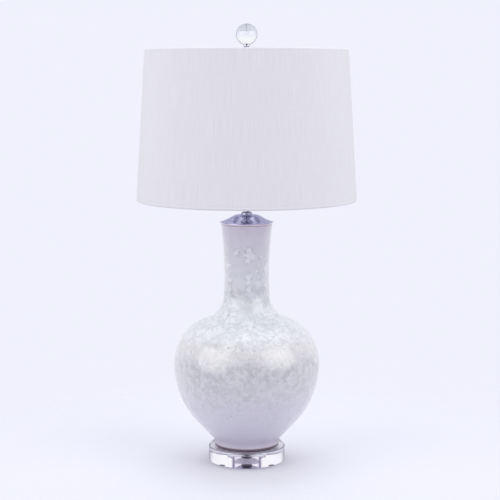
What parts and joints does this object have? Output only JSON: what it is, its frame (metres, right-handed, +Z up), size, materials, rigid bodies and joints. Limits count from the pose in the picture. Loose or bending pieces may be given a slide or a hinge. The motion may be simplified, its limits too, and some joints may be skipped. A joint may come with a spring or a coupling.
{
  "type": "table lamp",
  "caption": "Table lamp: glazed long-neck bottle vase on a clear round base, metal vase cap, harp, socket with bulb, hardback empire shade and a clear ball finial.",
  "frame": {"origin": "centre of the clear disc, on the surface that the lamp stands on", "axes": "+Z up along the lamp, -Y to the front with the switch knob, +Y to the cord hole, +X to the right"},
  "size_m": [0.4321, 0.4322, 0.8696],
  "materials": {
    "clear_rubber": "clear, soft, slightly frosted",
    "clear_acrylic": "clear, polished all over",
    "plated_steel": "bright zinc or nickel plating",
    "vase_glaze": "white and lilac-grey glaze with pale crystals",
    "black_plastic": "smooth black moulding",
    "polished_nickel": "polished nickel plating",
    "socket_metal": "nickel-plated pressed shell",
    "paperboard": "brown insulating board",
    "phenolic": "black moulded phenolic",
    "bare_brass": "plain machined",
    "thread_metal": "rolled screw sheet",
    "frosted_glass": "frosted white",
    "cap_glass": "black insulating glass",
    "shade_wire": "white-coated wire",
    "shade_backing": "white laminated sheet",
    "shade_cloth": "off-white cloth with a fine slub",
    "crystal": "clear crystal"
  },
  "bodies": {
    "lamp_base": {"foot_bumpers": "clear_rubber", "acrylic_base": "clear_acrylic", "base_washer": "plated_steel", "base_lock_washer": "plated_steel", "base_nut": "plated_steel", "threaded_rod": "plated_steel", "foot_gasket": "clear_rubber", "vase": "vase_glaze", "cord_bushing": "black_plastic", "vase_cap": "polished_nickel", "neck_collar": "polished_nickel", "neck_tube": "polished_nickel", "harp_saddle": "polished_nickel", "harp_wire": "polished_nickel", "socket_cap": "socket_metal", "socket_set_screw": "plated_steel", "socket_shell": "socket_metal", "socket_liner": "paperboard", "socket_core": "phenolic", "terminal_screws": "bare_brass", "screw_shell": "thread_metal", "centre_contact": "bare_brass"},
    "switch": {"switch_shaft": "bare_brass", "switch_knob": "black_plastic"},
    "bulb": {"bulb_cap": "thread_metal", "bulb_insulator": "cap_glass", "bulb_contact": "bare_brass", "bulb_glass": "frosted_glass"},
    "sleeve_left": {"harp_sleeve_left": "polished_nickel"},
    "sleeve_right": {"harp_sleeve_right": "polished_nickel"},
    "shade": {"harp_stud": "polished_nickel", "shade_spider": "shade_wire", "shade_top_ring": "shade_wire", "shade_bottom_ring": "shade_wire", "shade_liner": "shade_backing", "shade_fabric": "shade_cloth"},
    "finial": {"finial_base": "polished_nickel", "finial_post": "plated_steel", "finial_ball": "crystal"}
  },
  "joints": [
    {"name": "shade_turn", "type": "hinge", "parent": "lamp_base", "child": "shade", "pos_m": [0, 0, 0.806], "axis": [0, 0, 1], "continuous": true},
    {"name": "finial_turn", "type": "hinge", "parent": "shade", "child": "finial", "pos_m": [0, 0, 0.81], "axis": [0, 0, 1], "continuous": true},
    {"name": "bulb_turn", "type": "hinge", "parent": "lamp_base", "child": "bulb", "pos_m": [0, 0, 0.56], "axis": [0, 0, 1], "continuous": true},
    {"name": "switch_turn", "type": "hinge", "parent": "lamp_base", "child": "switch", "pos_m": [0, -0.02, 0.53972], "axis": [0, -1, 0], "continuous": true},
    {"name": "sleeve_left_slide", "type": "slide", "parent": "lamp_base", "child": "sleeve_left", "axis": [0, 0, 1], "range_m": [0, 0.012]},
    {"name": "sleeve_right_slide", "type": "slide", "parent": "lamp_base", "child": "sleeve_right", "axis": [0, 0, 1], "range_m": [0, 0.012]}
  ]
}
